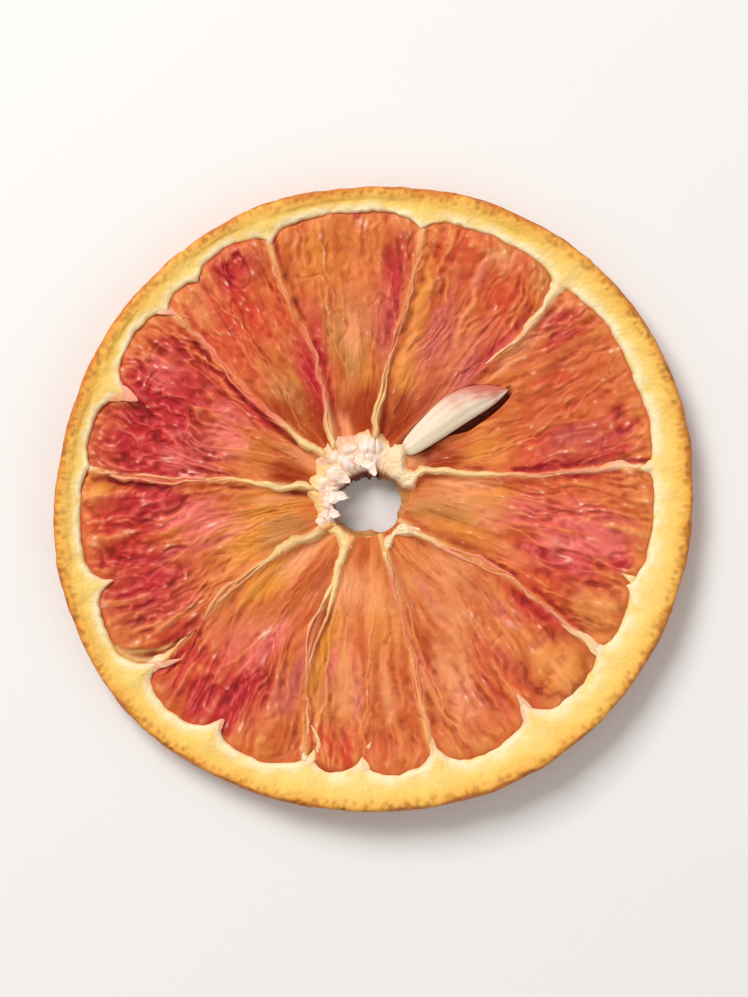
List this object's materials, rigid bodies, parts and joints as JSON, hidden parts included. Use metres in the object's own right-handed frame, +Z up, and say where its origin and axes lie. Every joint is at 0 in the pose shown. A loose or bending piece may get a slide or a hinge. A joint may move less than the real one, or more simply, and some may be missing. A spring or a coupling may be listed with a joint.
{
  "type": "dried blood orange slice",
  "caption": "Round dried citrus slice with rind, pith, segmented orange-red flesh and an open hole where the core was.",
  "frame": {"origin": "under the middle of the slice's outline, on the surface that it lies on", "axes": "+Z up, out of the cut face that shows; +X to the right and +Y to the top of that face as it shows in the picture"},
  "size_m": [0.0618, 0.0604, 0.0052],
  "materials": {
    "flesh": "satin",
    "pith": "matte",
    "rind": "satin",
    "seed": "satin"
  },
  "bodies": {
    "root": {"slice": "flesh"}
  },
  "joints": []
}
